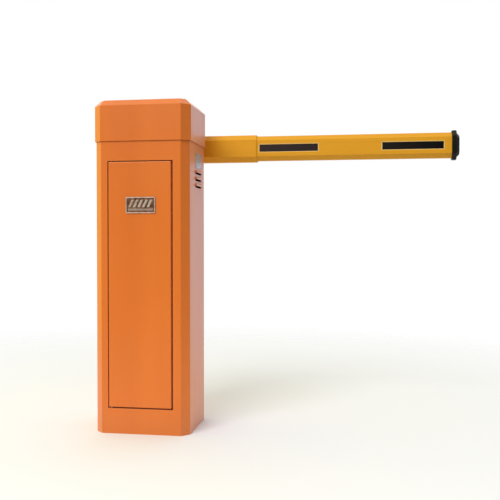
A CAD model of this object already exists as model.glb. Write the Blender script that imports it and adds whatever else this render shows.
import math

import bmesh
import bpy
import numpy as np
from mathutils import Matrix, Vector


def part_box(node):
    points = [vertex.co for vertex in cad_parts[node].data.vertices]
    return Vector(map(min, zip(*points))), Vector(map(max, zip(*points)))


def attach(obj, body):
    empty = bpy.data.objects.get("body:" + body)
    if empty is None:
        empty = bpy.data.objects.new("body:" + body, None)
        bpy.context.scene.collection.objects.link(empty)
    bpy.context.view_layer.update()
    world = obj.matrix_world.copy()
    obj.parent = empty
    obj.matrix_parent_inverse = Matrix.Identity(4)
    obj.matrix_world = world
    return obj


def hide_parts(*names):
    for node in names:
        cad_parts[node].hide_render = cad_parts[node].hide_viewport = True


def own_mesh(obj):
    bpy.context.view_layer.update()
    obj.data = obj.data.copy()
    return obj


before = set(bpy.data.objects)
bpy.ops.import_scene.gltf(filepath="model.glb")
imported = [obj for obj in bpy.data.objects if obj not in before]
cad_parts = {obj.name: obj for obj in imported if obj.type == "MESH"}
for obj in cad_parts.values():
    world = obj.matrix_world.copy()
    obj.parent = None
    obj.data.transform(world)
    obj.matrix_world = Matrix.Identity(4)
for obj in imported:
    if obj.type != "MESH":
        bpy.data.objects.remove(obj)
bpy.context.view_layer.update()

# Finishes and fine detail of a parking barrier gate: powder coated cabinet and hood, hinged door,
# octagonal boom, and the drive, springs and controls behind the door.
# Lengths are millimetres in this script and become metres where a mesh or a material is made.
MM = 0.001


def box_mm(node):
    """Lowest and highest corner of a CAD node, in millimetres."""
    low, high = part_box(node)
    return np.array(low) / MM, np.array(high) / MM


# ---------------------------------------------------------------- finishes
def linear(hex_colour):
    """An sRGB colour such as "E57A30" as linear red, green, blue and alpha."""
    parts = np.array([int(hex_colour[at:at + 2], 16) for at in (0, 2, 4)]) / 255
    curve = np.where(parts <= 0.04045, parts / 12.92, ((parts + 0.055) / 1.055) ** 2.4)
    return (*curve.tolist(), 1.0)


def put(tree, kind, feeds=None, **settings):
    """Adds a node. settings are its own choices, and feeds gives inputs, by name or number, a value or
    the output that feeds them."""
    made = tree.nodes.new(kind)
    for name, value in settings.items():
        setattr(made, name, value)
    for socket, feed in (feeds or {}).items():
        if isinstance(feed, bpy.types.NodeSocket):
            tree.links.new(feed, made.inputs[socket])
        else:
            made.inputs[socket].default_value = feed
    return made


def new_finish(name, roughness, metallic=0.0, **even):
    """A material whose even values are set on its shader. Returns it with its tree, shader and Object
    coordinates."""
    material = bpy.data.materials.new(name)
    material.use_nodes = True
    tree = material.node_tree
    shader = tree.nodes["Principled BSDF"]
    shader.inputs["Roughness"].default_value = roughness
    shader.inputs["Metallic"].default_value = metallic
    for socket, value in even.items():
        shader.inputs[socket.replace("_", " ")].default_value = value
    return material, tree, shader, put(tree, "ShaderNodeTexCoord").outputs["Object"]


EVEN = (1, 1, 1)  # a pattern that is drawn out along no axis
CLOUD_SPAN = {"From Min": 0.35, "From Max": 0.65}  # the part of the noise's range that is used
GLOSS_SPAN = {"From Min": 0.3, "From Max": 0.7}


def patches(tree, where, size, detail, stretch):
    """Noise in patches of the given size, drawn out along the axes where stretch is small."""
    laid = put(tree, "ShaderNodeMapping", {"Vector": where, "Scale": stretch})
    feeds = {"Vector": laid.outputs[0], "Scale": 1 / (size * MM), "Detail": detail}
    return put(tree, "ShaderNodeTexNoise", feeds).outputs[0]


def tinted(tree, share, under, over):
    """Colour over laid on colour under by a share from 0 to 1."""
    return put(tree, "ShaderNodeMix", {0: share, 6: under, 7: over}, data_type="RGBA").outputs[2]


def cloudy(tree, where, fair, deep, size, stretch=EVEN):
    """Colour that drifts between two tones in patches of the given size, drawn out by stretch."""
    noise = patches(tree, where, size, 4.0, stretch)
    share = put(tree, "ShaderNodeMapRange", {"Value": noise, **CLOUD_SPAN}).outputs[0]
    return tinted(tree, share, linear(deep), linear(fair))


def relief(tree, where, size, depth, stretch=EVEN, strength=1.0, below=None):
    """Shading normal of a grain of the given size and depth, on top of an earlier relief."""
    noise = patches(tree, where, size, 2.0, stretch)
    feeds = {"Height": noise, "Distance": depth * MM, "Strength": strength}
    if below is not None:
        feeds["Normal"] = below
    return put(tree, "ShaderNodeBump", feeds).outputs[0]


def edge_share(tree, radius):
    """Share from 0 on a flat face to 1 within a radius of an edge, where spray builds up thin."""
    rounded = put(tree, "ShaderNodeBevel", {"Radius": radius * MM}, samples=6).outputs[0]
    flat = put(tree, "ShaderNodeNewGeometry").outputs["True Normal"]
    agree = put(tree, "ShaderNodeVectorMath", {0: rounded, 1: flat}, operation="DOT_PRODUCT")
    span = {"Value": agree.outputs["Value"], "From Min": 0.99, "From Max": 0.86, "To Max": 0.55}
    return put(tree, "ShaderNodeMapRange", span).outputs[0]


def varied_roughness(tree, shader, where, low, high, size, stretch=EVEN):
    """Gloss that changes in patches of the given size, between two roughness values."""
    noise = patches(tree, where, size, 3.0, stretch)
    span = {"Value": noise, **GLOSS_SPAN, "To Min": low, "To Max": high}
    tree.links.new(put(tree, "ShaderNodeMapRange", span).outputs[0], shader.inputs["Roughness"])


def colour_and_relief(tree, shader, colour, normal):
    """Feeds a colour and a shading normal to the shader."""
    tree.links.new(colour, shader.inputs["Base Color"])
    tree.links.new(normal, shader.inputs["Normal"])


def raised(tree, height, depth):
    """Shading normal of a pattern that stands up by the given depth."""
    return put(tree, "ShaderNodeBump", {"Height": height, "Distance": depth * MM}).outputs[0]


DUST_HEIGHT = 110.0
DUST = "9A7450"
PEEL = 5.0  # orange peel is about 1.5 mm across on the real coat, drawn coarser so that it shows
LAY = 16.0  # width of the faint streaks, which are under 1 mm on the real sheet


def powder_coat(name, fair, deep, edge, gloss, draw, ior, bloom, foot_dust=False):
    """Sprayed and baked polyester powder: orange peel, faint lay along draw, paler thin edges, and a
    pale bloom at a low angle."""
    material, tree, shader, where = new_finish(
        name,
        gloss[0],
        IOR=ior,
        Coat_Weight=bloom,
        Coat_Roughness=0.34,
        Sheen_Weight=bloom,
        Sheen_Roughness=0.35,
    )
    colour = cloudy(tree, where, fair, deep, 160, draw)
    colour = tinted(tree, edge_share(tree, 2.2), colour, linear(edge))
    if foot_dust:
        height = put(tree, "ShaderNodeSeparateXYZ", {"Vector": where}).outputs["Z"]
        span = {"Value": height, "From Min": DUST_HEIGHT * MM, "From Max": 0.0, "To Max": 0.16}
        colour = tinted(tree, put(tree, "ShaderNodeMapRange", span).outputs[0], colour, linear(DUST))
    varied_roughness(tree, shader, where, *gloss, 55, draw)
    peel = relief(tree, where, PEEL, 0.05, strength=0.35)
    colour_and_relief(tree, shader, colour, relief(tree, where, LAY, 0.1, draw, 0.5, peel))
    return material


def plated_steel(name, fair, deep, gloss, spangle):
    """Zinc plated and passivated sheet: cool metal broken into faint crystals."""
    material, tree, shader, where = new_finish(name, gloss[0], 1.0)
    cells = put(tree, "ShaderNodeTexVoronoi", {"Vector": where, "Scale": 1 / (spangle * MM)})
    tone = put(tree, "ShaderNodeSeparateColor", {"Color": cells.outputs["Color"]}).outputs[0]
    varied_roughness(tree, shader, where, *gloss, 18)
    colour = tinted(tree, tone, linear(deep), linear(fair))
    colour_and_relief(tree, shader, colour, relief(tree, where, 3, 0.02, strength=0.4))
    return material


def worked_steel(name, fair, deep, gloss, line, lay, oil=0.0):
    """Machined, ground or oxidised steel: tone drifts a little and fine tool lines follow lay."""
    material, tree, shader, where = new_finish(name, gloss[0], 1.0, Coat_Weight=oil, Coat_Roughness=0.12)
    varied_roughness(tree, shader, where, *gloss, 12)
    lines = relief(tree, where, line, 0.02, lay, 0.5)
    colour_and_relief(tree, shader, cloudy(tree, where, fair, deep, 22), lines)
    return material


def cast_metal(name, fair, deep, gloss, grain, metallic):
    """Sand or die cast metal: mould grain over a soft, cloudy tone."""
    material, tree, shader, where = new_finish(name, gloss[0], metallic)
    varied_roughness(tree, shader, where, *gloss, 9)
    grainy = relief(tree, where, grain, 0.18, strength=0.7)
    lumpy = relief(tree, where, grain * 9, 0.3, strength=0.35, below=grainy)
    colour_and_relief(tree, shader, cloudy(tree, where, fair, deep, 30), lumpy)
    return material


def moulded(name, fair, deep, gloss, grain, depth=0.03, **even):
    """Moulded plastic or rubber: near even colour, fine mould grain and slight changes of gloss."""
    material, tree, shader, where = new_finish(name, gloss[0], **even)
    varied_roughness(tree, shader, where, *gloss, 14)
    grainy = relief(tree, where, grain, depth, strength=0.5)
    colour_and_relief(tree, shader, cloudy(tree, where, fair, deep, 25), grainy)
    return material


WAVE = 0.314  # metres from one ridge of a wave pattern to the next at a scale of 1


def ridged(tree, shader, where, fair, deep, pitch, direction, depth):
    """Even ridges across a direction, fair on top and deep between, as of sheets or turns of wire."""
    feeds = {"Vector": where, "Scale": WAVE / (pitch * MM)}
    ridge = put(tree, "ShaderNodeTexWave", feeds, bands_direction=direction).outputs["Fac"]
    colour = tinted(tree, ridge, linear(deep), linear(fair))
    colour_and_relief(tree, shader, colour, raised(tree, ridge, depth))


def stacked_laminations(name, fair, deep):
    """Punched electrical steel, stacked: dark blue-grey sheet edges 0.5 mm thick, drawn at 3.2 mm so
    that they show."""
    material, tree, shader, where = new_finish(name, 0.45, 0.85)
    ridged(tree, shader, where, fair, deep, 3.2, "Y", 0.15)
    return material


def wound_wire(name, fair, deep, pitch, direction, **even):
    """Enamelled or taped winding: turns lying side by side, each a soft ridge."""
    material, tree, shader, where = new_finish(name, 0.35, **even)
    ridged(tree, shader, where, fair, deep, pitch, direction, 0.2)
    return material


def closed_cell_foam():
    """Closed cell EPDM foam, extruded: grey, matt, with skinned cells about 1.5 mm across."""
    material, tree, shader, where = new_finish("closed_cell_foam_extruded", 0.95, Sheen_Weight=0.2)
    cells = put(tree, "ShaderNodeTexVoronoi", {"Vector": where, "Scale": 1 / (1.5 * MM)})
    pits = raised(tree, cells.outputs["Distance"], 0.4)
    colour_and_relief(tree, shader, cloudy(tree, where, "4A4B4D", "2F3032", 6), pits)
    return material


def ruled(tree, where, across, width, height, line, colours, **settings):
    """Flat pattern of cells on an upright face, with lines between them: across is the face's level
    axis, and colours are those of two cells and of the lines."""
    split = put(tree, "ShaderNodeSeparateXYZ", {"Vector": where}).outputs
    flat = put(tree, "ShaderNodeCombineXYZ", {"X": split[across], "Y": split["Z"]}).outputs[0]
    feeds = {"Vector": flat, "Scale": 1.0, "Mortar Size": line * MM, "Mortar Smooth": 0.0}
    feeds.update({"Brick Width": width * MM, "Row Height": height * MM})
    feeds.update(zip(("Color1", "Color2", "Mortar"), map(linear, colours)))
    return put(tree, "ShaderNodeTexBrick", feeds, **settings).outputs


def etched_board():
    """Glass epoxy board, etched and masked: green lacquer with the copper runs showing paler."""
    material, tree, shader, where = new_finish("glass_epoxy_board_etched", 0.32, Coat_Weight=0.4)
    runs = ruled(tree, where, "X", 19, 3.6, 0.45, ("0E4A2A", "11552F", "2F8A55"))
    colour_and_relief(tree, shader, runs["Color"], raised(tree, runs["Fac"], 0.08))
    return material


def printed_foil():
    """Anodised aluminium foil, printed with blank ruled cells: pale blue-grey with thin grey rules."""
    material, tree, shader, where = new_finish("anodised_foil_printed", 0.36, 0.35)
    rules = ruled(tree, where, "Y", 30, 9, 0.5, ("BFC6D2", "B4BCCB", "7E8798"), offset=0.0)
    brushed = relief(tree, where, 1.2, 0.01, (1, 0.05, 1), 0.3)
    colour_and_relief(tree, shader, rules["Color"], brushed)
    return material


def strip_film():
    """Cast vinyl film: black with a warm cast near the cabinet, faint cells of its backing."""
    material, tree, shader, where = new_finish("cast_vinyl_film", 0.32, IOR=1.22)
    low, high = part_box("boom_strips")
    along = put(tree, "ShaderNodeSeparateXYZ", {"Vector": where}).outputs["X"]
    share = put(tree, "ShaderNodeMapRange", {"Value": along, "From Min": low[0], "From Max": high[0]})
    film = tinted(tree, share.outputs[0], linear("3A3132"), linear("080807"))
    feeds = {"Vector": where, "Scale": 1 / (3.5 * MM)}
    cells = put(tree, "ShaderNodeTexVoronoi", feeds, feature="DISTANCE_TO_EDGE")
    span = {"Value": cells.outputs[0], "From Max": 0.08, "To Min": 0.3, "To Max": 0.0}
    walls = put(tree, "ShaderNodeMapRange", span).outputs[0]
    tree.links.new(tinted(tree, walls, film, linear("2A2626")), shader.inputs["Base Color"])
    return material


def stamped_plate():
    """Nickel plated steel, stamped and toned: bright raised work over a brown recess."""
    material, tree, shader, where = new_finish("nickel_plate_stamped", 0.4, 1.0)
    low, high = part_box("badge_plate")
    depth = put(tree, "ShaderNodeSeparateXYZ", {"Vector": where}).outputs["Y"]
    face = {"Value": depth, "From Min": high[1] - 1.7 * MM, "From Max": low[1] + 0.4 * MM}
    # the hood lock has the same plating but none of the toning, and lies behind the badge
    behind = {"Value": depth, "From Min": high[1], "From Max": high[1] + 0.5 * MM}
    shares = [put(tree, "ShaderNodeMapRange", span).outputs[0] for span in (face, behind)]
    clean = put(tree, "ShaderNodeMath", {0: shares[0], 1: shares[1]}, operation="MAXIMUM").outputs[0]
    toned = cloudy(tree, where, "A67C6A", "6A4636", 7)
    bright = cloudy(tree, where, "FBF1EA", "E0CDC2", 12)
    brushed = relief(tree, where, 1.0, 0.015, (0.06, 1, 1), 0.5)
    colour_and_relief(tree, shader, tinted(tree, clean, toned, bright), brushed)
    return material


UPRIGHT = (1, 1, 0.12)
ALONG_BOOM = (0.05, 1, 1)
ROUND_SHAFTS = (0.03, 1, 0.03)
GLOSSY_ABS = {"gloss": (0.2, 0.3), "grain": 1.6, "depth": 0.015, "Coat_Weight": 0.2}
FINISHES = {
    # satin orange skin of the cabinet, hood and door, a little dusty at the foot
    "orange_paint": powder_coat(
        "polyester_powder_sprayed_orange",
        *("E97814", "E06F10", "FB9A3C"),
        (0.36, 0.46),
        UPRIGHT,
        ior=1.5,
        bloom=0.4,
        foot_dust=True,
    ),
    # amber yellow skin of the boom, with the extrusion's lay showing through
    "yellow_paint": powder_coat(
        "polyester_powder_sprayed_yellow",
        *("EBA820", "DF9C18", "FFC63C"),
        (0.42, 0.54),
        ALONG_BOOM,
        ior=1.36,
        bloom=0.0,
    ),
    "black_film": strip_film(),
    # semi-matt black of the boom's cap, sensors and hand wheel
    "black_plastic": moulded("nylon_moulded_black", "1A1612", "110F0C", (0.3, 0.42), 2.0, IOR=1.3),
    "bright_plate": stamped_plate(),
    "label_foil": printed_foil(),
    # the frame parts' pale, slightly blue passivated zinc
    "zinc_steel": plated_steel("zinc_plated_steel_passivated", "C9CDD2", "B9BEC6", (0.3, 0.42), 4),
    # shafts and rings, bright with tool lines round the Y axis
    "ground_steel": worked_steel(
        "carbon_steel_ground", "C4C3BF", "ABA9A4", (0.16, 0.3), 1.0, ROUND_SHAFTS
    ),
    # arms and boom holder, blue-black and faintly oily
    "black_oxide": worked_steel(
        "steel_black_oxidised", "38393D", "2E2F33", (0.36, 0.46), 1.6, EVEN, 0.15
    ),
    # dark drawn wire under a film of oil
    "spring_steel": worked_steel(
        "music_wire_drawn_oiled", "77736C", "57544F", (0.25, 0.4), 1.5, EVEN, 0.3
    ),
    # primed grey iron with a sandy skin
    "grey_cast": cast_metal("grey_iron_sand_cast", "6E7478", "565C60", (0.5, 0.68), 1.8, 0.25),
    # pale, finely grained die casting
    "cast_aluminium": cast_metal("aluminium_die_cast", "B9BBBD", "9C9FA2", (0.36, 0.5), 1.2, 0.9),
    # hobbed teeth, slightly golden with gear oil
    "gear_steel": worked_steel(
        "alloy_steel_hobbed", "9D978B", "7B766C", (0.22, 0.36), 1.2, (1, 0.1, 1), 0.4
    ),
    "lamination_steel": stacked_laminations("silicon_steel_punched", "6A7078", "2E3238"),
    # matt black grommet, posts and buffers with a bloom on the skin
    "black_rubber": moulded(
        "rubber_moulded", "242424", "171717", (0.62, 0.8), 2.5, 0.06, Sheen_Weight=0.08
    ),
    "grey_foam": closed_cell_foam(),
    "board_green": etched_board(),
    # light grey switch housing with an eroded mould texture
    "grey_plastic": moulded("polycarbonate_moulded_grey", "C9CBCC", "BDBFC0", (0.34, 0.48), 1.4),
    # relays, chips and blocks in black thermoset
    "dark_component": moulded("phenolic_moulded_black", "26282B", "191B1E", (0.36, 0.52), 1.2),
    # glossy signal colours of the push buttons and the mains toggle
    "green_plastic": moulded("abs_moulded_green", "1F8F46", "187A3A", **GLOSSY_ABS),
    "red_plastic": moulded("abs_moulded_red", "C8251D", "B01D17", **GLOSSY_ABS),
    "white_plastic": moulded("abs_moulded_white", "E9E8E2", "DDDCD5", **GLOSSY_ABS),
}
# enamelled copper of the motor's end windings, whose wire is under 1 mm and is drawn coarser so that
# it shows, and the yellow tape round the transformer's coil
COPPER = wound_wire("copper_wire_enamelled", "D98752", "9C4F26", 2.8, "X", Metallic=0.9)
TAPE = wound_wire("polyester_tape_wound", "E8C24A", "D6AC34", 6.0, "Z", Coat_Weight=0.3)
# gold tinted brass of plugs and nipples
BRASS = worked_steel("brass_turned", "D8B363", "BF9A4C", (0.2, 0.32), 1.0, (1, 1, 0.05))
# drawn aluminium can of a capacitor
CAN = worked_steel("aluminium_drawn_can", "C9CBCE", "B7BABD", (0.22, 0.34), 1.2, (1, 0.05, 1))
# film resistor's blue-grey lacquer, a connector's green nylon and three lamp lenses
LACQUER = moulded("epoxy_lacquer_dipped", "6FA3B5", "5B8EA0", (0.25, 0.35), 1.5)
CONNECTOR = moulded("nylon_moulded_green", "2E9B57", "26854A", (0.35, 0.5), 1.5)
LENS_TONES = {
    "red": ("E8392B", "C62A1E"), "green": ("3FBF55", "2FA345"), "amber": ("F2B233", "D99A22")
}
LENS = {
    colour: moulded(
        f"epoxy_lens_cast_{colour}", *tones, (0.08, 0.12), 2.0, 0.005, Transmission_Weight=0.35
    )
    for colour, tones in LENS_TONES.items()
}
# pale yellow margin of the strips' backing
MARGIN = moulded("cast_vinyl_margin", "FFDC92", "F6CE80", (0.4, 0.5), 3.0, 0.01)

NODES_BY_FINISH = {
    "orange_paint": ["cabinet_body", "hood", "door_panel"],
    "yellow_paint": ["boom_tube", "boom_sleeve"],
    "black_film": ["boom_strips"],
    "black_plastic": ["boom_end_cap", "limit_sensors", "hand_wheel"],
    "bright_plate": ["badge_plate", "hood_lock_barrel", "hood_lock_plug"],
    "label_foil": ["rating_plate"],
    "zinc_steel": [
        "base_frame", "bearing_rails", "stop_brackets", "spring_anchor", "spring_adjusters",
        "drive_mount", "control_panel", "hood_lock_keeper", "bearing_bolts", "drive_screws",
        "boom_bolts", "door_bolt", "door_hinge_pins",
    ],
    "ground_steel": [
        "main_shaft", "bearing_balls", "bearing_inner_rings", "lever_pins", "output_shaft", "motor_rotor"
    ],
    "black_oxide": [
        "rocker_arm", "spring_lever", "crank_arm", "connecting_rod", "limit_disc", "boom_holder"
    ],
    "spring_steel": ["balance_spring_front", "balance_spring_rear"],
    "grey_cast": ["bearing_housings", "gear_case", "gear_case_cover"],
    "cast_aluminium": ["motor_body", "motor_end_bell"],
    "gear_steel": ["output_gear", "layshaft_gear"],
    "lamination_steel": ["motor_stator", "transformer"],
    "black_rubber": ["cable_grommet", "hood_posts", "stop_buffers"],
    "grey_foam": ["door_seal"],
    "board_green": ["circuit_board"],
    "grey_plastic": ["mains_switch"],
    "dark_component": ["board_components"],
    "green_plastic": ["button_raise"],
    "red_plastic": ["button_stop", "mains_toggle"],
    "white_plastic": ["button_lower"],
}
for finish, members in NODES_BY_FINISH.items():
    for member in members:
        for material_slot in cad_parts[member].material_slots:
            material_slot.material = FINISHES[finish]


# ---------------------------------------------------------------- surfaces
def piece(name, skins, finish, body, looped=False, crease=35):
    """One piece made of skins. A skin is rows of rings of points, in millimetres: each ring closes on
    itself, and the rows either close into a loop or end in a cap."""
    points, faces, first = [], [], 0
    for skin in skins:
        rows, around = skin.shape[:2]
        index = first + np.arange(rows * around).reshape(rows, around)
        here, after = (index, np.roll(index, -1, 0)) if looped else (index[:-1], index[1:])
        quads = np.stack([here, np.roll(here, -1, 1), np.roll(after, -1, 1), after], -1)
        faces += quads.reshape(-1, 4).tolist()
        if not looped:
            faces += [index[0, ::-1].tolist(), index[-1].tolist()]
        points.append(skin.reshape(-1, 3) * MM)
        first += rows * around
    mesh = bpy.data.meshes.new(name)
    mesh.from_pydata(np.concatenate(points).tolist(), [], faces)
    work = bmesh.new()
    work.from_mesh(mesh)
    bmesh.ops.remove_doubles(work, verts=work.verts, dist=1e-3 * MM)
    bmesh.ops.recalc_face_normals(work, faces=work.faces)
    work.to_mesh(mesh)
    work.free()
    mesh.shade_smooth()
    mesh.set_sharp_from_angle(angle=math.radians(crease))
    mesh.materials.append(finish)
    made = bpy.data.objects.new(name, mesh)
    bpy.context.scene.collection.objects.link(made)
    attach(made, body)
    return made


def turned(profile, centre, axis, around=24, flats=0):
    """Turned shape: each profile row (distance along the axis, radius) becomes a ring about the axis.
    With flats, the ring is a polygon: the radius is divided by the cosine of the angle from the middle
    of the nearest flat."""
    along, radius = np.array(profile, float).T
    axis = np.array(axis, float)
    side = np.cross(axis, (0, 0, 1) if abs(axis[2]) < 0.5 else (1, 0, 0))
    up = np.cross(axis, side)
    angle = np.linspace(0, 2 * np.pi, around, endpoint=False)
    reach = np.ones(around)
    if flats:
        step = 2 * np.pi / flats
        reach = 1 / np.cos((angle + step / 2) % step - step / 2)
    ring = (np.cos(angle) * reach)[:, None] * side + (np.sin(angle) * reach)[:, None] * up
    return np.array(centre, float) + along[:, None, None] * axis + radius[:, None, None] * ring


def wire(path, upward, radius, around=8):
    """Round wire: a circle is set square to the path at each point, measured from the upward
    direction."""
    travel = np.gradient(path, axis=0)
    travel /= np.linalg.norm(travel, axis=1, keepdims=True)
    upward = upward - np.sum(upward * travel, 1, keepdims=True) * travel
    upward /= np.linalg.norm(upward, axis=1, keepdims=True)
    across = np.cross(travel, upward)
    angle = np.linspace(0, 2 * np.pi, around, endpoint=False)[:, None]
    ring = np.cos(angle) * upward[:, None] + np.sin(angle) * across[:, None]
    return path[:, None] + radius * ring


def outline(half_width, half_height, corner):
    """Rounded rectangle about the origin: four quarter circles of the corner's radius, one after
    another."""
    quarter = np.linspace(0, np.pi / 2, 6)
    turn = (np.arange(4) * np.pi / 2)[:, None] + quarter
    signs = np.array([(1, 1), (-1, 1), (-1, -1), (1, -1)], float)
    centres = signs * (half_width - corner, half_height - corner)
    arc = np.stack([np.cos(turn), np.sin(turn)], -1) * corner
    return (centres[:, None] + arc).reshape(-1, 2)


def soft_block(low, high, corner, edge):
    """Rounded block: a rounded rectangle in x and z, drawn in at the front and back by a quarter circle
    of the edge's radius."""
    low, high = np.array(low, float), np.array(high, float)
    bend = np.linspace(0, np.pi / 2, 5)
    inset = edge * (1 - np.sin(bend))
    step = edge * (1 - np.cos(bend))
    depth = np.concatenate([low[1] + step, high[1] - step[::-1]])
    inset = np.concatenate([inset, inset[::-1]])
    half = (high - low) / 2
    rings = [outline(half[0] - cut, half[2] - cut, max(corner - cut, 0.05)) for cut in inset]
    middle = (low + high) / 2
    skin = np.empty((len(rings), len(rings[0]), 3))
    skin[..., 0] = middle[0] + np.array(rings)[..., 0]
    skin[..., 1] = depth[:, None]
    skin[..., 2] = middle[2] + np.array(rings)[..., 1]
    return skin


# ---------------------------------------------------------------- balance springs
SPRING_WIRE = 2.0  # radius of the wire
SPRING_PITCH = 6.2
HOOK = 10.0  # centre line radius of the hooks, which stays clear of the pins when the lever is down
HOOK_REACH = 11.0  # from a hook's centre to the end of the CAD spring
HOOK_TO_COILS = 28.0
HOOK_TURN = math.radians(300)


def spring_path(foot, head, coil):
    """Centre line of a tension spring about x = y = 0, with its upward directions. The lower hook is a
    circle in the x, z plane that ends at its top, heading along x. From there the radius grows as a
    sine over half a turn to the coils' radius while the height eases up. The coils climb evenly. The
    upper end is the lower one turned half round the y axis through the middle, run backwards."""
    swing = np.linspace(-HOOK_TURN, 0, 32, endpoint=False)
    still = np.zeros_like(swing)
    hook = np.stack([HOOK * np.sin(swing), still, foot + HOOK * np.cos(swing)], -1)
    hook_up = np.stack([np.sin(swing), still, np.cos(swing)], -1)
    share = np.linspace(0, 1, 16, endpoint=False)
    radius = coil * np.sin(share * np.pi / 2)
    rise = foot + HOOK + (HOOK_TO_COILS - HOOK) * share**2 * (3 - 2 * share)
    crossing = np.stack([radius * np.cos(np.pi * share), radius * np.sin(np.pi * share), rise], -1)
    turns = round((head - foot - 2 * HOOK_TO_COILS) / SPRING_PITCH)
    angle = np.linspace(np.pi, 2 * np.pi * turns, 20 * turns)
    climb = np.linspace(foot + HOOK_TO_COILS, head - HOOK_TO_COILS, len(angle))
    coils = np.stack([coil * np.cos(angle), coil * np.sin(angle), climb], -1)
    lower = np.concatenate([hook, crossing])
    lower_up = np.concatenate([hook_up, np.tile((0.0, 0.0, 1.0), (len(crossing), 1))])
    upper = (lower * (-1, 1, -1) + (0, 0, foot + head))[::-1]
    upper_up = (lower_up * (1, -1, 1))[::-1]
    coils_up = np.tile((0.0, 0.0, 1.0), (len(coils), 1))
    return np.concatenate([lower, coils, upper]), np.concatenate([lower_up, coils_up, upper_up])


shaft_low, shaft_high = box_mm("main_shaft")
SHAFT = (shaft_low + shaft_high) / 2
for node in ("balance_spring_front", "balance_spring_rear"):
    low, high = box_mm(node)
    middle = (low + high) / 2
    foot = low[2] + HOOK_REACH
    head = high[2] - HOOK_REACH
    path, upward = spring_path(foot, head, (high[0] - low[0]) / 2 - SPRING_WIRE)
    coil = piece(
        node + "_coil",
        [wire(path + (middle[0], middle[1], 0), upward, SPRING_WIRE)],
        FINISHES["spring_steel"],
        "cabinet",
        crease=60,
    )
    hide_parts(node)
    # the spring pin swings a quarter turn about the shaft, so the top moves as far down as inwards
    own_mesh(coil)

# ---------------------------------------------------------------- maker's badge
BADGE_PROFILE = ((0.0, 0.0), (0.0, 1.9), (0.5, 2.9), (1.3, 3.6), (3.0, 3.6), (4.3, 1.5), (4.8, 1.5))
RIB_TILT = 11.0
RIBS = (-29.0, -14.5, 0.0, 14.5, 29.0)
BAR_SPANS = ((-16.5, -12.5), (-11.0, -10.0))


def badge_skins():
    """Stamped relief: the frame is one rounded rectangle after another, each drawn in and raised by the
    profile. A rib is a leaning four-sided ring raised with sloping sides, and a bar is a low one."""
    low, high = box_mm("badge_plate")
    middle, half = (low + high) / 2, (high - low) / 2
    rings = np.array(
        [outline(half[0] - cut, half[2] - cut, 4.0 - cut * 0.7) for cut, _ in BADGE_PROFILE]
    )
    heights = np.array([height for _, height in BADGE_PROFILE])[:, None]
    depth = np.broadcast_to(high[1] - heights, rings.shape[:2])
    skins = [np.stack([middle[0] + rings[..., 0], depth, middle[2] + rings[..., 1]], -1)]
    shapes = [(rib, RIB_TILT, 4.2, (-7.0, 16.5), 2.9) for rib in RIBS]
    shapes += [(0.0, 0.0, half[0] - 7.0, span, 2.5) for span in BAR_SPANS]
    for centre, tilt, half_width, (foot, top), height in shapes:
        slope = np.array([0.0, 0.0, 0.9, 1.4])[:, None]
        rise = np.array([1.0, 2.1, height - 0.1, height])[:, None]
        corners = np.array([(-1, foot, -0.5), (1, foot, -0.5), (1, top, 0.5), (-1, top, 0.5)], float)
        x = centre + corners[:, 0] * (half_width - slope) + tilt * corners[:, 2]
        z = corners[:, 1] - np.sign(corners[:, 2]) * np.minimum(slope, 0.4)
        y = np.broadcast_to(high[1] - rise, x.shape)
        skins.append(np.stack([middle[0] + x, y, middle[2] + z], -1))
    return skins


badge = piece("badge_relief", badge_skins(), FINISHES["bright_plate"], "door")
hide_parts("badge_plate")

# ---------------------------------------------------------------- strips' pale margins
MARGIN_WIDTH = 2.4
MARGIN_LIFT = 0.3
STRIP_LENGTH = 193.0
strip_low, strip_high = box_mm("boom_strips")


def margin_skins():
    """A flat band round each strip: a rounded rectangle just outside the strip is the path, and each
    ring is the band's four-cornered section at one point of it."""
    skins = []
    half = (STRIP_LENGTH / 2, (strip_high[2] - strip_low[2]) / 2)
    inner = outline(*half, 0.8)
    outer = outline(half[0] + MARGIN_WIDTH, half[1] + MARGIN_WIDTH, 1.6)
    height = (strip_low[2] + strip_high[2]) / 2
    for start in (strip_low[0], strip_high[0] - STRIP_LENGTH):
        for face, inward in ((strip_low[1], 1), (strip_high[1], -1)):
            depths = (face + inward * (0.5 - MARGIN_LIFT), face + inward * 0.5)
            ring = [(inner, depths[0]), (outer, depths[0]), (outer, depths[1]), (inner, depths[1])]
            section = [
                np.stack([path[:, 0], np.full(len(path), depth), path[:, 1]], -1) for path, depth in ring
            ]
            skins.append(np.stack(section, 1) + (start + STRIP_LENGTH / 2, 0, height))
    return skins


piece("strip_margins", margin_skins(), MARGIN, "boom", looped=True)

# ---------------------------------------------------------------- fasteners and small turned parts
M10_WASHER = ((0.0, 8.2), (0.0, 10.2), (0.3, 10.5), (1.3, 10.5), (1.6, 10.2), (1.6, 8.2))
bolt_low, bolt_high = box_mm("boom_bolts")
HEX_CORNER = 8.5
HEX_FLAT = HEX_CORNER * math.cos(math.pi / 6)
HEAD = 6.5
bolt_places = [
    (x, bolt_high[1] - HEAD, z)
    for x in (bolt_low[0] + HEX_CORNER, bolt_high[0] - HEX_CORNER)
    for z in (bolt_low[2] + HEX_FLAT, bolt_high[2] - HEX_FLAT)
]
piece(
    "boom_washers",
    [turned(M10_WASHER, place, (0, 1, 0), 32) for place in bolt_places],
    FINISHES["zinc_steel"],
    "boom",
    looped=True,
)

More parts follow.
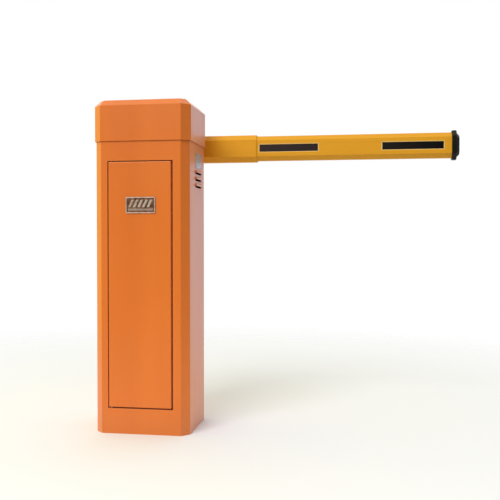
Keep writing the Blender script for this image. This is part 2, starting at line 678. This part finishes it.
RIVET = ((0.0, 1.9), (0.3, 1.9), (0.7, 1.6), (1.0, 1.0), (1.1, 0.0))
plate_low, plate_high = box_mm("rating_plate")
RIVET_IN = 4.5
piece(
    "rating_plate_rivets",
    [
        turned(RIVET, (plate_high[0] - 0.1, y, z), (1, 0, 0), 16)
        for y in (plate_low[1] + RIVET_IN, plate_high[1] - RIVET_IN)
        for z in (plate_low[2] + RIVET_IN, plate_high[2] - RIVET_IN)
    ],
    FINISHES["ground_steel"],
    "cabinet",
)


def socket_screw_skins():
    """Socket head screws along y: the head is turned, and its six-sided socket is the same profile's
    inner part, with the radius of each ring following a hexagon."""
    low, high = box_mm("drive_screws")
    head_r, head_t, shank_r = 4.2, 4.5, 2.5
    ring = (high[0] - low[0]) / 2 - head_r
    middle_x = (low[0] + high[0]) / 2
    z_low, z_high = low[2] + head_r + ring, high[2] - head_r - ring
    places = [(middle_x + side * ring, z) for side in (-1, 1) for z in (z_low, z_high)]
    places += [(middle_x, z_high + ring), (middle_x, z_low - ring)]
    length = high[1] - low[1]
    body = ((length, shank_r), (head_t, shank_r), (head_t, head_r), (0.4, head_r), (0.0, head_r - 0.4))
    socket = ((0.0, 2.2), (0.3, 2.0), (2.4, 2.0), (2.9, 0.0))
    skins = []
    for x, z in places:
        start = (x, low[1], z)
        outside = turned(body, start, (0, 1, 0), 24)
        inside = turned(socket, start, (0, 1, 0), 24, flats=6)
        skins.append(np.concatenate([outside, inside]))
    return skins


screws = piece(
    "drive_socket_screws", socket_screw_skins(), FINISHES["black_oxide"], "cabinet"
)
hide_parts("drive_screws")

CIRCLIP = ((0.0, 17.4), (0.0, 20.2), (1.4, 20.2), (1.4, 17.4))
ring_low, ring_high = box_mm("bearing_inner_rings")
piece(
    "shaft_circlip",
    [turned(CIRCLIP, (SHAFT[0], ring_low[1] - 1.6, SHAFT[2]), (0, 1, 0), 40)],
    FINISHES["spring_steel"],
    "boom",
    looped=True,
)

NIPPLE = ((-1.0, 3.2), (1.6, 3.2), (1.6, 2.2), (3.2, 1.9), (4.0, 2.7), (5.2, 2.7))
NIPPLE += ((6.2, 1.7), (6.6, 0.8), (6.6, 0.0))
housing_low, housing_high = box_mm("bearing_housings")
HOUSING = 28.0  # a bearing housing's depth along the shaft
piece(
    "grease_nipples",
    [
        turned(NIPPLE, (SHAFT[0], y, housing_high[2]), (0, 0, 1), 18)
        for y in (housing_low[1] + HOUSING / 2, housing_high[1] - HOUSING / 2)
    ],
    BRASS,
    "cabinet",
)

case_low, case_high = box_mm("gear_case")
PLUG = ((-3.0, 7.0), (1.4, 7.0), (1.4, 9.0), (2.6, 9.4), (3.6, 9.0), (3.6, 5.6))
PLUG += ((8.2, 5.6), (8.8, 5.0), (8.8, 0.0))
PLUG_Y = 21.0
PLUG_SEAT = 11.0  # the case's wall is 9 mm under its flange, and the plug is sunk 2 mm into it
plug_place = ((case_low[0] + case_high[0]) / 2, PLUG_Y, case_high[2] - PLUG_SEAT)
piece(
    "gear_case_plug",
    [turned(PLUG, plug_place, (0, 0, 1), 24)],
    BRASS,
    "cabinet",
)

# ---------------------------------------------------------------- hand wheel
wheel_low, wheel_high = box_mm("hand_wheel")
WHEEL = (wheel_low + wheel_high) / 2
WHEEL_RIM = 3.1


def hand_wheel_skins():
    """Moulded wheel: the hub is a turned ring, and each spoke is an oval rod that narrows towards the
    rim by a cosine."""
    bore, hub, reach = 7.0, 11.0, (wheel_high[0] - wheel_low[0]) / 2
    half = (wheel_high[1] - wheel_low[1]) / 2
    hub_ring = ((-half, bore), (-half, hub - 1), (-half + 1, hub))
    hub_ring += ((half - 1, hub), (half, hub - 1), (half, bore))
    angle = np.linspace(0, 2 * np.pi, 16, endpoint=False)
    share = np.linspace(0, 1, 8)
    girth = 0.75 + 0.25 * np.cos(np.pi * share)
    out = hub - 1.5 + (reach - WHEEL_RIM - hub + 1.5) * share
    spokes = []
    for turn in (0, 2 * np.pi / 3, 4 * np.pi / 3):
        line = np.array([math.cos(turn), 0, math.sin(turn)])
        across = np.array([-math.sin(turn), 0, math.cos(turn)])
        oval = (
            3.4 * np.cos(angle)[None, :, None] * across
            + 2.4 * np.sin(angle)[None, :, None] * np.array([0, 1, 0])
        )
        spokes.append(WHEEL + out[:, None, None] * line + girth[:, None, None] * oval)
    return [turned(hub_ring, WHEEL, (0, 1, 0), 36)], spokes


hub_skins, spoke_skins = hand_wheel_skins()
rim_turn = np.linspace(0, 2 * np.pi, 16, endpoint=False)
rim_reach = (wheel_high[0] - wheel_low[0]) / 2 - WHEEL_RIM
rim_profile = np.stack([WHEEL_RIM * np.sin(rim_turn), rim_reach + WHEEL_RIM * np.cos(rim_turn)], -1)
rim = piece(
    "hand_wheel_rim",
    [turned(rim_profile, WHEEL, (0, 1, 0), 64)] + hub_skins,
    FINISHES["black_plastic"],
    "rotor",
    looped=True,
)
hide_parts("hand_wheel")
piece("hand_wheel_spokes", spoke_skins, FINISHES["black_plastic"], "rotor")

# ---------------------------------------------------------------- motor windings
stator_low, stator_high = box_mm("motor_stator")
STATOR = (stator_low + stator_high) / 2


def end_winding(base, outward):
    """Ring of wire bundles at one end of the stator: an oval section carried round the axis, swollen
    by a cosine once per bundle."""
    bundles = 24
    turn = np.linspace(0, 2 * np.pi, bundles * 8, endpoint=False)
    section = np.linspace(0, 2 * np.pi, 14, endpoint=False)
    swell = 1 + 0.16 * np.cos(bundles * turn)
    radius = 25.8 + 4.0 * np.cos(section)[None, :] * swell[:, None]
    depth = base + outward * (4.0 + 4.6 * np.sin(section)[None, :] * swell[:, None])
    x = STATOR[0] + radius * np.cos(turn)[:, None]
    z = STATOR[2] + radius * np.sin(turn)[:, None]
    return np.stack([x, depth, z], -1)


piece(
    "end_windings",
    [end_winding(stator_low[1], -1), end_winding(stator_high[1], 1)],
    COPPER,
    "cabinet",
    looped=True,
)

# ---------------------------------------------------------------- transformer
former_low, former_high = box_mm("transformer")
FORMER = (former_low + former_high) / 2
CORE_FRONT = former_low[1] + 9.0
CORE_STACK = 26.0
COIL_HALF = (15.0, 19.0)
core_low = (former_low[0], CORE_FRONT, former_low[2])
core_high = (former_high[0], CORE_FRONT + CORE_STACK, former_high[2])
core = piece(
    "transformer_core",
    [soft_block(core_low, core_high, 1.2, 0.6)],
    FINISHES["lamination_steel"],
    "cabinet",
)
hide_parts("transformer")
coil_low = (FORMER[0] - COIL_HALF[0], former_low[1], FORMER[2] - COIL_HALF[1])
coil_high = (FORMER[0] + COIL_HALF[0], former_high[1], FORMER[2] + COIL_HALF[1])
piece("transformer_coil", [soft_block(coil_low, coil_high, 7.0, 5.0)], TAPE, "cabinet")

# ---------------------------------------------------------------- on the circuit board
board_low, board_high = box_mm("circuit_board")
BOARD_FACE = board_low[1]
RESISTOR = ((-3.2, 0.0), (-3.2, 0.9), (-2.8, 1.35), (-1.6, 1.35), (-1.2, 1.1), (1.2, 1.1), (1.6, 1.35))
RESISTOR += ((2.8, 1.35), (3.2, 0.9), (3.2, 0.0))
resistor_x = np.linspace(board_low[0] + 14, board_low[0] + 84, 8)
resistor_z = board_high[2] - 57
piece(
    "resistors",
    [turned(RESISTOR, (x, BOARD_FACE - 1.4, resistor_z), (0, 0, 1), 14) for x in resistor_x],
    LACQUER,
    "cabinet",
)
LED = ((0.0, 1.9), (-0.8, 1.9), (-0.8, 1.5), (-3.4, 1.5), (-4.4, 1.1), (-4.9, 0.0))
for colour, x in (("green", 16.0), ("amber", 50.0), ("red", 84.0)):
    place = (board_low[0] + x, BOARD_FACE, board_high[2] - 12)
    piece("lamp_" + colour, [turned(LED, place, (0, 1, 0), 18)], LENS[colour], "cabinet")
SOCKETS, SOCKET_PITCH = 12, 7.6
SOCKET = np.array((7.2, 9.5, 10.0))
socket_lows = [
    np.array((board_low[0] + 22 + SOCKET_PITCH * at, BOARD_FACE - SOCKET[1], board_low[2] + 4))
    for at in range(SOCKETS)
]
piece(
    "board_connectors",
    [soft_block(low, low + SOCKET, 0.6, 0.4) for low in socket_lows],
    CONNECTOR,
    "cabinet",
)
PAN_HEAD = ((0.0, 3.1), (-0.9, 3.1), (-1.7, 2.6), (-2.1, 1.6), (-2.1, 1.3), (-1.3, 1.0), (-1.3, 0.0))
SCREW_IN = 7.0
piece(
    "board_screws",
    [
        turned(PAN_HEAD, (x, BOARD_FACE, z), (0, 1, 0), 20)
        for x in (board_low[0] + SCREW_IN, board_high[0] - SCREW_IN)
        for z in (board_low[2] + SCREW_IN, board_high[2] - SCREW_IN)
    ],
    FINISHES["zinc_steel"],
    "cabinet",
)
CLAMP_SCREW = ((3.0, 2.1), (0.4, 2.1), (0.0, 1.8), (0.0, 1.1), (0.8, 0.8), (0.8, 0.0))
CLAMPS, CLAMP_PITCH = 12, 9.0
FIRST_CLAMP = np.array((-82.0, -52.0, 250.0))
clamp_places = [FIRST_CLAMP + (CLAMP_PITCH * at, 0, 0) for at in range(CLAMPS)]
piece(
    "terminal_screws",
    [turned(CLAMP_SCREW, place, (0, 1, 0), 14) for place in clamp_places],
    FINISHES["zinc_steel"],
    "cabinet",
)
CAN_LID = ((0.0, 6.9), (-0.35, 6.6), (-0.35, 5.4), (-0.1, 5.0), (-0.1, 0.0))
CAN_HEIGHT = 22.0
CAN_Z = 380.0
piece(
    "capacitor_lids",
    [turned(CAN_LID, (x, BOARD_FACE - CAN_HEIGHT, CAN_Z), (0, 1, 0), 24) for x in (4.0, 22.0)],
    CAN,
    "cabinet",
)

# ---------------------------------------------------------------- studio
CAMERA_AT = (0.6816, -2.2998, 0.6024)
CAMERA_YAW = 0.15763
CAMERA_PITCH = -0.018255
CAMERA_LENS = 53.75
KEY_POWER = 214
FILL_POWER = 6

camera_data = bpy.data.cameras.new("camera")
camera_data.lens = CAMERA_LENS
camera_data.sensor_width = 36.0
camera = bpy.data.objects.new("camera", camera_data)
camera.location = CAMERA_AT
camera.rotation_euler = (math.pi / 2 + CAMERA_PITCH, 0, CAMERA_YAW)
bpy.context.scene.collection.objects.link(camera)
bpy.context.scene.camera = camera
bpy.context.scene.view_settings.view_transform = "Standard"


def soft_light(name, place, aim, size, power, colour):
    """Square softbox that shines from its place towards the aim."""
    data = bpy.data.lights.new(name, "AREA")
    data.size = size
    data.energy = power
    data.color = colour
    lamp = bpy.data.objects.new(name, data)
    lamp.location = place
    lamp.rotation_euler = (Vector(aim) - Vector(place)).to_track_quat("-Z", "Y").to_euler()
    bpy.context.scene.collection.objects.link(lamp)


soft_light("key", (-1.3, -4.3, 4.6), (0.2, 0, 0.5), 3.0, KEY_POWER, (1.0, 0.96, 0.86))
soft_light("left_fill", (-3.4, 0.9, 1.1), (0, 0, 0.6), 2.4, FILL_POWER, (1.0, 0.9, 0.5))

SKY_LEVEL = 0.58  # strength of the surround at a level direction across the camera's
SKY_SLOPES = (("Y", 0.4), ("X", -0.24), ("Z", 0.34))
# direction, where the tone starts and is full, and the tone: warm from above and from the left,
# slightly cool from behind
SKY_TONES = (
    ("Z", 0.3, 0.9, (1.0, 0.98, 0.8, 1)),
    ("Y", 0.4, 1.0, (0.92, 0.99, 1.12, 1)),
    ("X", -0.35, -0.9, (1.0, 0.84, 0.12, 1)),
)
WHITE = (1, 1, 1, 1)


def daylight():
    """Surround whose strength is a level plus a slope along each axis: brightest behind the object and
    above, dimmer in front and to the right. It is tinted by direction, and the camera sees it as
    white."""
    world = bpy.data.worlds.new("studio")
    bpy.context.scene.world = world
    world.use_nodes = True
    tree = world.node_tree
    way = put(tree, "ShaderNodeTexCoord").outputs["Generated"]
    split = put(tree, "ShaderNodeSeparateXYZ", {"Vector": way})
    level = SKY_LEVEL
    for direction, slope in SKY_SLOPES:
        feeds = {0: split.outputs[direction], 1: slope, 2: level}
        level = put(tree, "ShaderNodeMath", feeds, operation="MULTIPLY_ADD").outputs[0]
    seen = put(tree, "ShaderNodeLightPath").outputs["Is Camera Ray"]
    shade = put(tree, "ShaderNodeMix", {0: seen, 2: level, 3: 1.0}, data_type="FLOAT")
    sky = tree.nodes["Background"]
    tree.links.new(shade.outputs[0], sky.inputs["Strength"])
    tone = WHITE
    for direction, start, end, colour in SKY_TONES:
        toward = {"Value": split.outputs[direction], "From Min": start, "From Max": end}
        tone = tinted(tree, put(tree, "ShaderNodeMapRange", toward).outputs[0], tone, colour)
    tree.links.new(tinted(tree, seen, tone, WHITE), sky.inputs["Color"])


daylight()


FLOOR_COLOUR = (0.86, 0.89, 1.0, 1)
FLOOR_FADE = {"From Min": 0.7, "From Max": 2.6}  # metres from the middle
FLOOR_RINGS = (0.0, 0.5, 1.5, 4.0)
FLOOR_AROUND = 64


def studio_floor():
    """Round pale floor that fades into the surround: rings of points out to its edge."""
    material = bpy.data.materials.new("painted_floor_pale")
    material.use_nodes = True
    tree = material.node_tree
    shader = tree.nodes["Principled BSDF"]
    shader.inputs["Base Color"].default_value = FLOOR_COLOUR
    shader.inputs["Roughness"].default_value = 0.9
    where = put(tree, "ShaderNodeTexCoord").outputs["Object"]
    reach = put(tree, "ShaderNodeVectorMath", {0: where}, operation="LENGTH").outputs["Value"]
    fade = put(tree, "ShaderNodeMapRange", {"Value": reach, **FLOOR_FADE}).outputs[0]
    clear = put(tree, "ShaderNodeBsdfTransparent").outputs[0]
    mixed = put(tree, "ShaderNodeMixShader", {0: fade, 1: shader.outputs[0], 2: clear})
    tree.links.new(mixed.outputs[0], tree.nodes["Material Output"].inputs["Surface"])
    angle = np.linspace(0, 2 * np.pi, FLOOR_AROUND, endpoint=False)
    out = np.array(FLOOR_RINGS)[:, None]
    rings = np.stack([out * np.cos(angle), out * np.sin(angle), np.zeros((len(out), len(angle)))], -1)
    index = np.arange(rings[..., 0].size).reshape(rings.shape[:2])
    here, after = index[:-1], index[1:]
    quads = np.stack([here, after, np.roll(after, -1, 1), np.roll(here, -1, 1)], -1).reshape(-1, 4)
    mesh = bpy.data.meshes.new("floor")
    mesh.from_pydata(rings.reshape(-1, 3).tolist(), [], quads.tolist())
    mesh.materials.append(material)
    floor = bpy.data.objects.new("floor", mesh)
    bpy.context.scene.collection.objects.link(floor)
    return floor


studio_floor()
